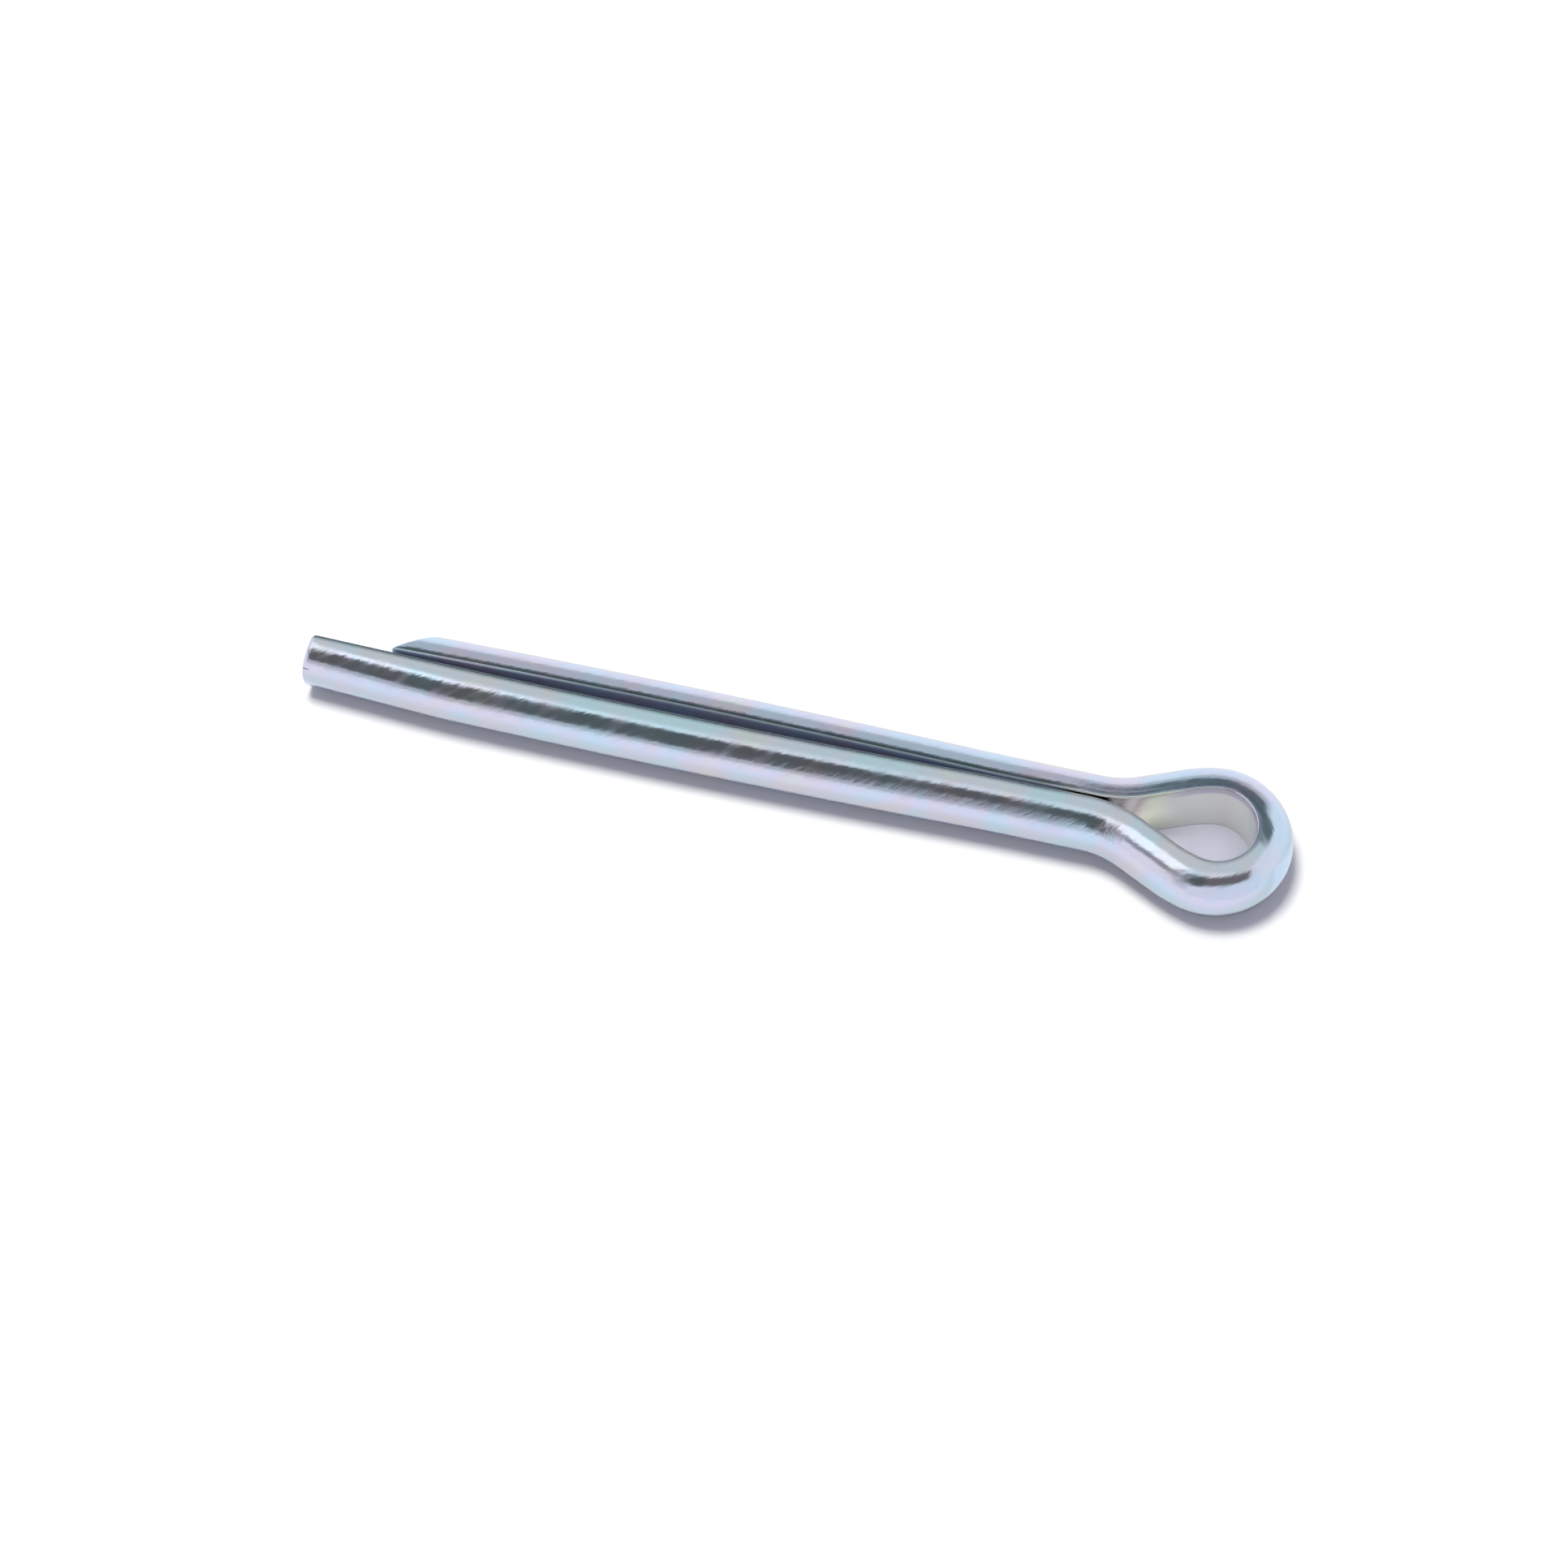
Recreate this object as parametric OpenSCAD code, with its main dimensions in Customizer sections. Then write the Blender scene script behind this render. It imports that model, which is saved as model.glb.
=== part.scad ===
// Split cotter pin: one length of half-round wire, folded back on itself so that
// its flats meet. The fold is the eye, and the two legs together are the shank.
// The pin lies on its side. X runs along the shank toward the eye, Z is up, and the
// origin is on the shank's axis at the neck, where the legs part to form the eye.

/* [Wire] */
// Diameter of the shank with both legs closed
shank_d = 3.65; // [2.5:0.05:6]
// Width of the hairline split between the flats of the legs
split_gap = 0.08; // [0.04:0.01:0.3]
// Rounding of the wire where its flat meets its round side
edge_r = 0.1; // [0.05:0.01:0.5]

/* [Legs] */
// Length of the short leg, from the neck to its point
short_leg = 33.2; // [20:0.1:60]
// How much further the long leg reaches, measured at its flat
leg_step = 3.65; // [1:0.05:10]
// Straight stretch of shank next to the neck
shank_run = 3.5; // [1:0.1:10]
// Angle at which each leg leaves the straight stretch to bow outward
bow_turn = 1.25; // [0.2:0.05:3]
// Radius of the bend where the bow begins
bow_start_r = 100; // [20:1:200]

/* [Tips] */
// Slant of the short leg's cut, which leaves its flat side longest
short_tip_cut = 50; // [0:1:60]
// Slant of the long leg's cut, which leaves its round side longest
long_tip_cut = 10; // [0:1:30]
// Length over which the end of the long leg is swaged thinner
swage_l = 6.5; // [2:0.1:12]
// How much thinner the long leg is at its tip
swage_depth = 0.27; // [0:0.01:0.6]
// Rounding of the rim of each cut end
rim_r = 0.2; // [0.05:0.05:0.5]

/* [Eye] */
// Clear width of the eye between the flats
eye_w = 3.7; // [2.8:0.05:8]
// Angle by which the whole eye leans toward the long leg's side
eye_lean = 1.6; // [0.2:0.1:3]
// Angle through which each leg bends outward at the neck
neck_turn = 24.8; // [16:0.2:32]
// Bend radius at the neck, on the middle of the shank
neck_r = 6; // [4:0.1:10]
// Angle of the gentle bend between the flank of the eye and its crown
shoulder_turn = 12; // [2:0.5:14]
// Bend radius of that shoulder
shoulder_r = 5.6; // [3:0.1:10]

/* [Hidden] */

wire_r = shank_d / 2;
half_gap = split_gap / 2;

// The crown is round about the middle of the eye. The line that it is bent along lies
// within its flat, by half the gap.
crown_r = eye_w / 2 - half_gap;
crown_lean = neck_turn - shoulder_turn;
neck_rise = neck_r * (1 - cos(neck_turn));
shoulder_rise = shoulder_r * (cos(crown_lean) - cos(neck_turn));
flank_l = (crown_r * cos(crown_lean) - neck_rise - shoulder_rise) / sin(neck_turn);

// The bow is one large arc that brings the short leg back to the long one at its tip
bow_start_l = bow_start_r * sin(bow_turn);
bow_r = (short_leg - shank_run - bow_start_l) / (2 * sin(bow_turn));
short_tip_run = wire_r * tan(short_tip_cut) + rim_r + edge_r;

// Largest turn between two cross-sections of a tight bend, in degrees
BEND_STEP = 4;
// Cross-sections along the slight bends of the legs
BOW_START_STEPS = 2;
BOW_STEPS = 12;
// Points round the section: on its round side, and on each rounded edge
ROUND_STEPS = 20;
EDGE_STEPS = 4;
// Cross-sections that round the rim of a cut end
RIM_STEPS = 3;
// The bent stretches end this much inside the outline of the straight ones they join
JOINT_INSET = 0.004;

$fn = 96;

// Rounded corner between the flat and the round side of a half-round section, as points
// [outward, up]. It starts on the flat and ends where it runs into the round side.
function corner(r, flat) =
    let (
        out = flat + edge_r,
        up = sqrt(pow(r - edge_r, 2) - out * out),
        end = atan2(up, out)
    )
    [
        for (i = [0:EDGE_STEPS])
            let (a = 180 + (end - 180) * i / EDGE_STEPS)
            [out + edge_r * cos(a), up + edge_r * sin(a)]
    ];

function flipped(points) = [
    for (i = [len(points) - 1:-1:0]) [points[i][0], -points[i][1]]
];

// Whole half-round section as points, with its flat on the left
function section(r, flat) =
    let (
        top = corner(r, flat),
        end = atan2(top[EDGE_STEPS][1], top[EDGE_STEPS][0]),
        side = [
            for (i = [1:ROUND_STEPS - 1])
                let (a = end * (1 - 2 * i / ROUND_STEPS))
                [r * cos(a), r * sin(a)]
        ]
    )
    concat(top, side, flipped(top));

// A route is a list of moves [distance, turn]. A pose is [x, y, heading].
function bend(r, turn, steps) =
    [for (i = [1:steps]) [2 * r * sin(abs(turn) / (2 * steps)), turn / steps]];

function steps_for(turn) = ceil(abs(turn) / BEND_STEP);

function moved(pose, move) =
    let (way = pose[2] + move[1] / 2)
    [
        pose[0] + move[0] * cos(way),
        pose[1] + move[0] * sin(way),
        pose[2] + move[1]
    ];

function route(pose, moves, i = 0) =
    i == len(moves)
        ? [pose]
        : concat([pose], route(moved(pose, moves[i]), moves, i + 1));

// Moves from the start of a rim's rounding to the cut face, and how far in each one goes
rim_moves = [
    for (i = [1:RIM_STEPS])
        [rim_r * (sin(90 * i / RIM_STEPS) - sin(90 * (i - 1) / RIM_STEPS)), 0]
];
rim_insets = [for (i = [0:RIM_STEPS]) rim_r * (1 - cos(90 * i / RIM_STEPS))];

// Draws a section point in toward the middle of the section, by up to the inset
function drawn_in(point, inset) =
    let (
        middle = (wire_r + half_gap) / 2,
        half = (wire_r - half_gap) / 2
    )
    [
        middle + (point[0] - middle) * (1 - inset / half),
        point[1] * (1 - inset / wire_r)
    ];

// Places a section point on a pose, with the round side to the right of the heading.
// The section is thinned to depth times its thickness, and slanted so that its round
// side trails the flat by lag times its distance from it.
function placed(pose, point, depth, lag) =
    let (
        out = half_gap + (point[0] - half_gap) * depth,
        back = (out - half_gap) * lag
    )
    [
        pose[0] + out * sin(pose[2]) - back * cos(pose[2]),
        pose[1] - out * cos(pose[2]) - back * sin(pose[2]),
        point[1]
    ];

// Sweeps the wire's section along the poses. Only the last sections, one for each inset,
// are thinned and slanted as well as drawn in.
module swept(poses, end_depth = 1, end_lag = 0, insets = [0]) {
    outline = section(wire_r - JOINT_INSET, half_gap + JOINT_INSET);
    n = len(outline);
    last = len(poses) - 1;
    first_cut = len(poses) - len(insets);
    points = [
        for (k = [0:last], point = outline)
            k < first_cut
                ? placed(poses[k], point, 1, 0)
                : placed(
                    poses[k],
                    drawn_in(point, insets[k - first_cut]),
                    end_depth,
                    end_lag
                )
    ];
    walls = [
        for (k = [0:last - 1], i = [0:n - 1])
            let (a = k * n + i, b = k * n + (i + 1) % n)
            each [[a, b + n, b], [a, a + n, b + n]]
    ];
    start_cap = [for (i = [0:n - 1]) i];
    end_cap = [for (i = [n - 1:-1:0]) last * n + i];
    polyhedron(points, concat([start_cap], walls, [end_cap]));
}

// Straight half of the shank, whose round side is a true cylinder on the X axis. The last
// line of each rounded edge runs on past the circle, which then cuts it to length.
module shank_half() {
    top = corner(wire_r, half_gap);
    kept = [for (i = [0:EDGE_STEPS - 1]) top[i]];
    last = kept[EDGE_STEPS - 1];
    slope = (top[EDGE_STEPS] - last) / (top[EDGE_STEPS][0] - last[0]);
    upper = concat(kept, [last + slope * (shank_d - last[0])]);
    translate([-shank_run, 0, 0])
        rotate([90, 0, 90])
            linear_extrude(shank_run)
                intersection() {
                    circle(wire_r);
                    polygon(concat(upper, flipped(upper)));
                }
}

// Bowed part of a leg, from the straight shank to its tip
module leg(length, tip_run, tip_depth, tip_lag) {
    bow_l = length - shank_run - bow_start_l - tip_run;
    swept(
        route(
            [-shank_run, 0, 180],
            concat(
                bend(bow_start_r, -bow_turn, BOW_START_STEPS),
                bend(bow_r, bow_l / bow_r * 180 / PI, BOW_STEPS),
                [[tip_run - rim_r, 0]],
                rim_moves
            )
        ),
        tip_depth,
        tip_lag,
        rim_insets
    );
}

// The lean makes the long leg's bend at the neck larger and the other one smaller, so the
// wire runs straight for a moment before it is back at the neck
module eye() {
    crown_turn = 180 + 2 * crown_lean;
    shoulder = bend(shoulder_r, shoulder_turn, steps_for(shoulder_turn));
    way_round = concat(
        bend(neck_r, -neck_turn - eye_lean, steps_for(neck_turn + eye_lean)),
        [[flank_l, 0]],
        shoulder,
        bend(crown_r, crown_turn, steps_for(crown_turn)),
        shoulder,
        [[flank_l, 0]],
        bend(neck_r, eye_lean - neck_turn, steps_for(neck_turn - eye_lean))
    );
    swept(concat(route([0, 0, 0], way_round), [[0, 0, 180]]));
}

module cotter_pin() {
    color("silver") {
        eye();
        shank_half();
        mirror([0, 1, 0]) shank_half();
        leg(short_leg, short_tip_run, 1, tan(short_tip_cut));
        mirror([0, 1, 0])
            leg(
                short_leg + leg_step,
                swage_l,
                1 - swage_depth / wire_r,
                -tan(long_tip_cut)
            );
    }
}

cotter_pin();
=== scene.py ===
# %% [markdown]
# # A zinc-plated split pin
# A split pin is one length of half-round steel wire, folded so that its two flats meet. The fold
# is the eye, and the two legs together are a round shank that goes through a drilled hole. This
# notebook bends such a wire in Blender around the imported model, gives it its thin zinc finish,
# and sets it on a pale table under soft light. Blender counts in metres, and so small a thing is
# easier to think of in millimetres, so its sizes are written as so many MM.

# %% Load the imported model
import math

import bmesh
import bpy
from mathutils import Matrix, Vector


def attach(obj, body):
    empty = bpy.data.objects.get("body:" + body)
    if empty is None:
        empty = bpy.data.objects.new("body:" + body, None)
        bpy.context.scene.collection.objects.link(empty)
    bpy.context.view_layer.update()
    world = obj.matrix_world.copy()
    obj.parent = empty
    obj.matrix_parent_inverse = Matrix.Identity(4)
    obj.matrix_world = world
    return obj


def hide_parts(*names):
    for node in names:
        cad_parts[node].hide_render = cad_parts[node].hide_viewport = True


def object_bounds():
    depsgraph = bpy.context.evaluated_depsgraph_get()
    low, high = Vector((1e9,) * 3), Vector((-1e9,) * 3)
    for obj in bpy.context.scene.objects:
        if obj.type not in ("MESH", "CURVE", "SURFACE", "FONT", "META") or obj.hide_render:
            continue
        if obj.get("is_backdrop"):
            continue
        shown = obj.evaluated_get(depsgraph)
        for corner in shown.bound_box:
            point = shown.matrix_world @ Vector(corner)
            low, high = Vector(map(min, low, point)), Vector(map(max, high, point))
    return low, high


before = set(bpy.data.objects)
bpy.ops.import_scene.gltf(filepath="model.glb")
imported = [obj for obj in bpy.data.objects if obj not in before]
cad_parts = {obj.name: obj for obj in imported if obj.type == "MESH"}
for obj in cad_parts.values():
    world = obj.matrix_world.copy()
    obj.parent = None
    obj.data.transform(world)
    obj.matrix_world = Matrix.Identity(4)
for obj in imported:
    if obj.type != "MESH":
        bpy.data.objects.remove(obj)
cad_low, cad_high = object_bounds()
MM = 0.001
print("size in mm", [round((b - a) / MM, 2) for a, b in zip(cad_low, cad_high)])

# %% [markdown]
# ## The camera
# The pin lies along X with its eye at +X. A long lens, some way off and well above the table,
# shows nearly parallel lines, as small goods are usually shown. The camera could be aimed with a
# constraint, but here its three directions are worked out from two angles, so that it can be
# slid sideways a little without turning.

# %% Camera
CAMERA_TURN = math.radians(13.23)
CAMERA_HEIGHT = math.radians(62.30)
CAMERA_DISTANCE = 0.2609
CAMERA_SLIDE = (-0.01397, 0.00131)
LENS_IN_MM = 130
SENSOR_IN_MM = 36
NEAREST_SEEN = 0.01

right = Vector((math.cos(CAMERA_TURN), math.sin(CAMERA_TURN), 0))
back = Vector((
    math.sin(CAMERA_TURN) * math.cos(CAMERA_HEIGHT),
    -math.cos(CAMERA_TURN) * math.cos(CAMERA_HEIGHT),
    math.sin(CAMERA_HEIGHT),
))
up = back.cross(right)
camera_place = back * CAMERA_DISTANCE + right * CAMERA_SLIDE[0] + up * CAMERA_SLIDE[1]
camera_turned = Matrix((right, up, back)).transposed().to_4x4()

bpy.ops.object.camera_add()
camera = bpy.context.object
camera.name = "camera"
camera.data.lens = LENS_IN_MM
camera.data.sensor_width = SENSOR_IN_MM
camera.data.clip_start = NEAREST_SEEN
camera.matrix_world = Matrix.Translation(camera_place) @ camera_turned
bpy.context.scene.camera = camera
bpy.context.scene.view_settings.view_transform = "Standard"
print("camera at", [round(v, 4) for v in camera_place])

# %% [markdown]
# ## The wire's section
# Drawn half-round wire has a flat, a round side, and two softly rounded edges between them. A
# curve with a bevel profile could sweep it in one go, but a wire that is drawn out and bent step
# by step stays under control at every bend. So the section starts as a filled circle, which is
# cut in half by a plane. Its two corners are bevelled, and the flat is subdivided, so that the
# light runs evenly across it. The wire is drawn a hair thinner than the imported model's, and its
# flat a hair further from the fold's middle, so that it stays inside that model.

# %% Helpers for edit mode
TINY = 1e-7
SELECT_MODES = {"verts": "VERT", "edges": "EDGE", "faces": "FACE"}


def deselect_everything():
    bpy.ops.object.select_all(action="DESELECT")


def select_in_edit(piece, parts, wanted):
    """Selects only those verts, edges or faces of the piece that pass the test."""
    bpy.ops.mesh.select_mode(type=SELECT_MODES[parts])
    bpy.ops.mesh.select_all(action="DESELECT")
    mesh = bmesh.from_edit_mesh(piece.data)
    chosen = [part for part in getattr(mesh, parts) if wanted(part)]
    for part in chosen:
        part.select_set(True)
    mesh.select_flush_mode()
    bmesh.update_edit_mesh(piece.data)
    return len(chosen)


# %% Half-round section
WIRE_R = 1.813 * MM
HALF_GAP = 0.044 * MM
EDGE_R = 0.1 * MM
ROUND_POINTS = 96
EDGE_POINTS = 6
FLAT_CUTS = 9
FLAT_ERROR = 0.001 * MM

deselect_everything()
bpy.ops.mesh.primitive_circle_add(
    vertices=ROUND_POINTS, radius=WIRE_R, fill_type="NGON", rotation=(0, math.pi / 2, 0)
)
pin = bpy.context.object
pin.name = "split_pin_wire"
bpy.ops.object.transform_apply(location=True, rotation=True, scale=True)
bpy.ops.object.mode_set(mode="EDIT")
bpy.ops.mesh.select_all(action="SELECT")
bpy.ops.mesh.bisect(
    plane_co=(0, -HALF_GAP, 0), plane_no=(0, 1, 0), clear_outer=True, threshold=TINY
)


def on_flat(vert):
    return abs(vert.co.y + HALF_GAP) < FLAT_ERROR


def near_corner(vert):
    corner = Vector((0, -HALF_GAP, math.copysign(WIRE_R, vert.co.z)))
    return not on_flat(vert) and (vert.co - corner).length < EDGE_R


select_in_edit(pin, "verts", near_corner)
bpy.ops.mesh.dissolve_verts()
corners = select_in_edit(pin, "verts", on_flat)
bpy.ops.mesh.bevel(
    offset=EDGE_R, segments=EDGE_POINTS, profile=0.5, affect="VERTICES", clamp_overlap=False
)
select_in_edit(pin, "edges", lambda edge: all(on_flat(v) for v in edge.verts))
bpy.ops.mesh.subdivide(number_cuts=FLAT_CUTS)
section_points = len(bmesh.from_edit_mesh(pin.data).verts)
print("corners rounded:", corners, "points round the section:", section_points)

# %% [markdown]
# ## Measures printed on the wire
# The finish has to follow the wire round its bends: drawing lines run along it, and the colour
# of the plating changes from place to place along it. A UV map could say where each point is on
# the wire, but it has a seam. So each point keeps its place on the wire as it was before it was
# bent, in an attribute of three numbers: along, outward and up.

# %% Attribute for the place on the straight wire
mesh = bmesh.from_edit_mesh(pin.data)
straight = mesh.verts.layers.float_vector.new("straight")
for vert in mesh.verts:
    vert[straight] = Vector((0, -vert.co.y, vert.co.z))
bmesh.update_edit_mesh(pin.data)

# %% [markdown]
# ## Drawing out and bending
# The real pin is wound round a former, so each bend is an arc about a centre. Here the end face
# of the wire is extruded for each straight stretch and spun about the bend's centre for each
# arc. The place and heading of the end are kept in `end`, as for a pen that draws the fold's
# middle line, and each new ring is marked with its distance along the wire.

# %% Drawing and bending helpers
end = {"x": 0.0, "y": 0.0, "heading": 0.0, "along": 0.0}


def set_end(x, y, heading, along):
    end.update(x=x, y=y, heading=heading, along=along)


def mark_end(step):
    """Marks the selected end face as one step further along the wire."""
    mesh = bmesh.from_edit_mesh(pin.data)
    straight = mesh.verts.layers.float_vector["straight"]
    for vert in mesh.verts:
        if vert.select:
            vert[straight] += Vector((step, 0, 0))
    end["along"] += step


def draw(length, rings, sense=1):
    """Extrudes the end straight ahead. Sense is -1 where the distance along the wire falls."""
    step = length / rings
    heading = end["heading"]
    move = (step * math.cos(heading), step * math.sin(heading), 0)
    for _ in range(rings):
        bpy.ops.mesh.extrude_region_move(TRANSFORM_OT_translate={"value": move})
        end["x"] += move[0]
        end["y"] += move[1]
        mark_end(sense * step)


def bend(radius, turn, rings, sense=1):
    """Spins the end about the bend's centre. A positive turn goes to the left."""
    side = math.copysign(1, turn)
    centre = (
        end["x"] - side * radius * math.sin(end["heading"]),
        end["y"] + side * radius * math.cos(end["heading"]),
        0,
    )
    step = turn / rings
    for _ in range(rings):
        bpy.ops.mesh.spin(steps=1, angle=-step, center=centre, axis=(0, 0, 1))
        end["heading"] += step
        end["x"] = centre[0] + side * radius * math.sin(end["heading"])
        end["y"] = centre[1] - side * radius * math.cos(end["heading"])
        mark_end(sense * radius * abs(step))


# %% [markdown]
# ## The eye
# From the neck the wire turns outward, runs along the flank, turns in over a gentle shoulder and
# goes round the crown, which is one tight arc. The other half is the same in reverse. The
# flank's length follows from the rest, so that the crown is centred between the legs. The pen's
# line lies within the flat by half the split between the legs, so the crown's radius is that
# much less than half the eye's width. A folded eye seldom stays quite true, and this one leans a
# little to the front: the first bend at the neck turns that much further, and the last one that
# much less. A short straight stretch then brings the wire back to the neck.

# %% Eye
EYE_W = 3.7 * MM
EYE_LEAN = math.radians(1.6)
NECK_R = 6 * MM
NECK_TURN = math.radians(24.8)
SHOULDER_R = 5.6 * MM
SHOULDER_TURN = math.radians(12)
HALF_SPLIT = 0.04 * MM
CROWN_R = EYE_W / 2 - HALF_SPLIT
CROWN_LEAN = NECK_TURN - SHOULDER_TURN
NECK_RINGS, FLANK_RINGS, SHOULDER_RINGS, CROWN_RINGS = 12, 4, 6, 90

neck_rise = NECK_R * (1 - math.cos(NECK_TURN))
shoulder_rise = SHOULDER_R * (math.cos(CROWN_LEAN) - math.cos(NECK_TURN))
flank_rise = CROWN_R * math.cos(CROWN_LEAN) - neck_rise - shoulder_rise
FLANK_L = flank_rise / math.sin(NECK_TURN)

select_in_edit(pin, "faces", lambda face: True)
bend(NECK_R, -NECK_TURN - EYE_LEAN, NECK_RINGS)
draw(FLANK_L, FLANK_RINGS)
bend(SHOULDER_R, SHOULDER_TURN, SHOULDER_RINGS)
bend(CROWN_R, math.pi + 2 * CROWN_LEAN, CROWN_RINGS)
bend(SHOULDER_R, SHOULDER_TURN, SHOULDER_RINGS)
draw(FLANK_L, FLANK_RINGS)
bend(NECK_R, EYE_LEAN - NECK_TURN, NECK_RINGS)
draw(end["x"], rings=1)
eye_l = end["along"]
print("wire in the eye, mm:", round(eye_l / MM, 2))
print("back at the neck, mm:", [round(end[k] / MM, 3) for k in ("x", "y")])

# %% [markdown]
# ## The legs
# Each leg runs straight beside the neck, bows outward a little and comes back toward the other
# at its tip. That bow is the pin's spring, which holds it in its hole. Both are drawn a little
# too long and then cut off by a plane, as the real wire is sheared: the short leg at a long
# slant, the long leg nearly square.

# %% Short leg
SHORT_LEG = 33.2 * MM
SHANK_RUN = 3.5 * MM
BOW_START_R = 100 * MM
BOW_TURN = math.radians(1.25)
SHORT_TIP_RUN = 2.375 * MM
SHORT_SPARE_L = 0.05 * MM
SHANK_RINGS, BOW_START_RINGS, BOW_RINGS, SHORT_TIP_RINGS = 4, 4, 24, 6

bow_start_l = BOW_START_R * math.sin(BOW_TURN)
bow_r = (SHORT_LEG - SHANK_RUN - bow_start_l) / (2 * math.sin(BOW_TURN))


def bow(length, side):
    """Draws a leg from the neck to the end of its bow. Side is 1 for the leg at +Y, else -1."""
    draw(SHANK_RUN, SHANK_RINGS, side)
    bend(BOW_START_R, -side * BOW_TURN, BOW_START_RINGS, side)
    bow_l = length - SHANK_RUN - bow_start_l
    bend(bow_r, side * bow_l / bow_r, BOW_RINGS, side)


bow(SHORT_LEG - SHORT_TIP_RUN, side=1)
draw(SHORT_TIP_RUN + SHORT_SPARE_L, SHORT_TIP_RINGS)
short_tip = dict(end)
print("short leg drawn to, mm:", [round(short_tip[k] / MM, 3) for k in ("x", "y", "along")])

# %% [markdown]
# The wire's other end is still the filled section at the neck, facing the other way. The long
# leg starts from there. Its last stretch is swaged thinner on the round side, so that it finds
# the hole: each new ring there is squeezed toward the flat.

# %% Long leg
LEG_STEP = 3.65 * MM
SWAGE_L = 6.5 * MM
SWAGE_DEPTH = 0.27 * MM
SWAGE_RINGS = 13
LONG_SPARE_L = 0.4 * MM


def at_neck(face):
    middle = face.calc_center_median()
    return len(face.verts) == section_points and abs(middle.x) < TINY and middle.y < 0


set_end(0, 0, math.pi, 0)
print("end faces found at the neck:", select_in_edit(pin, "faces", at_neck))
bow(SHORT_LEG + LEG_STEP - SWAGE_L, side=-1)

thickness = 1.0
ring_l = (SWAGE_L + LONG_SPARE_L) / SWAGE_RINGS
for ring in range(1, SWAGE_RINGS + 1):
    draw(ring_l, rings=1, sense=-1)
    squeezed = 1 - SWAGE_DEPTH / WIRE_R * ring * ring_l / SWAGE_L
    bpy.ops.transform.resize(
        value=(1, squeezed / thickness, 1),
        center_override=(end["x"], end["y"] - HALF_GAP, 0),
    )
    thickness = squeezed
long_tip = dict(end)
print("long leg drawn to, mm:", [round(long_tip[k] / MM, 3) for k in ("x", "y", "along")])

# %% [markdown]
# A plane cuts each leg off, just short of its tip, and the cut is filled. The bisect operator cuts
# only what is selected, so just the last faces of that leg are selected first. Shearing and
# plating leave the rim of a cut rounded, so the new face is drawn out to the tip in a few small
# steps, each one narrower than the last, as the steps of a quarter circle are. One more step
# stays level and draws a ring inside the face, so that the rim's shading doesn't run across it.

# %% Cut the tips
SHORT_TIP_CUT = math.radians(50)
LONG_TIP_CUT = math.radians(10)
RIM_R = 0.2 * MM
RIM_STEPS = 4
LAST_INSET = 0.04 * MM
TIP_REACH = 4 * MM
WELD_BELOW = 0.012 * MM
CUT_ERROR = 0.01 * MM
HALF_WIDTH = WIRE_R
HALF_THICKNESS = (WIRE_R - HALF_GAP) / 2


def selected_middle(piece):
    """The middle of the box round the selected points."""
    places = [v.co for v in bmesh.from_edit_mesh(piece.data).verts if v.select]
    return Vector([(min(p[i] for p in places) + max(p[i] for p in places)) / 2 for i in range(3)])


def cut_tip(tip, side, flat_l, slant):
    """Cuts a leg where its flat is flat_l from the neck. A positive slant trails outward."""
    ahead = Vector((math.cos(tip["heading"]), math.sin(tip["heading"]), 0))
    outward = Vector((0, side, 0))
    drawn_l = tip["along"] - eye_l if side > 0 else -tip["along"]
    over = drawn_l - flat_l
    point = Vector((tip["x"], tip["y"], 0)) + outward * HALF_GAP - ahead * (over + RIM_R)
    normal = (ahead * math.cos(slant) + outward * math.sin(slant)).normalized()

    def near_tip(position):
        return position.y * side > 0 and (position - point).dot(ahead) > -TIP_REACH

    def on_cut(face):
        above = (face.calc_center_median() - point).dot(normal)
        return abs(above) < CUT_ERROR and len(face.verts) > section_points / 2

    select_in_edit(pin, "faces", lambda face: near_tip(face.calc_center_median()))
    bpy.ops.mesh.bisect(
        plane_co=point, plane_no=normal, clear_outer=True, use_fill=True, threshold=TINY
    )
    select_in_edit(pin, "verts", lambda vert: near_tip(vert.co))
    bpy.ops.mesh.remove_doubles(threshold=WELD_BELOW)

    found = select_in_edit(pin, "faces", on_cut)
    reached, width, thickness = 0.0, 1.0, 1.0
    for step in range(1, RIM_STEPS + 2):
        turn = math.pi / 2 * min(step, RIM_STEPS) / RIM_STEPS
        inset = RIM_R * (1 - math.cos(turn)) + LAST_INSET * (step > RIM_STEPS)
        gain = RIM_R * math.sin(turn) - reached
        reached += gain
        bpy.ops.mesh.extrude_region_move(TRANSFORM_OT_translate={"value": ahead * gain})
        mark_end(side * gain)
        narrower = (1 - inset / HALF_WIDTH) / width
        thinner = (1 - inset / HALF_THICKNESS) / thickness
        bpy.ops.transform.resize(
            value=(thinner, thinner, narrower), center_override=selected_middle(pin)
        )
        width *= narrower
        thickness *= thinner
    return found


print("cut faces, short leg:", cut_tip(short_tip, 1, SHORT_LEG, SHORT_TIP_CUT))
print("cut faces, long leg:", cut_tip(long_tip, -1, SHORT_LEG + LEG_STEP, -LONG_TIP_CUT))

# %% [markdown]
# ## Finish the mesh
# All faces are made to point outward, and the sides are shaded smooth up to the cut ends, where
# the angle is sharp.

# %% Normals and shading
SMOOTH_BELOW = math.radians(40)
bpy.ops.mesh.select_mode(type="FACE")
bpy.ops.mesh.select_all(action="SELECT")
bpy.ops.mesh.normals_make_consistent(inside=False)
bpy.ops.object.mode_set(mode="OBJECT")
bpy.ops.object.shade_smooth_by_angle(angle=SMOOTH_BELOW)
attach(pin, "root")
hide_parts("cotter_pin")
print("faces:", len(pin.data.polygons), "points:", len(pin.data.vertices))

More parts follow.
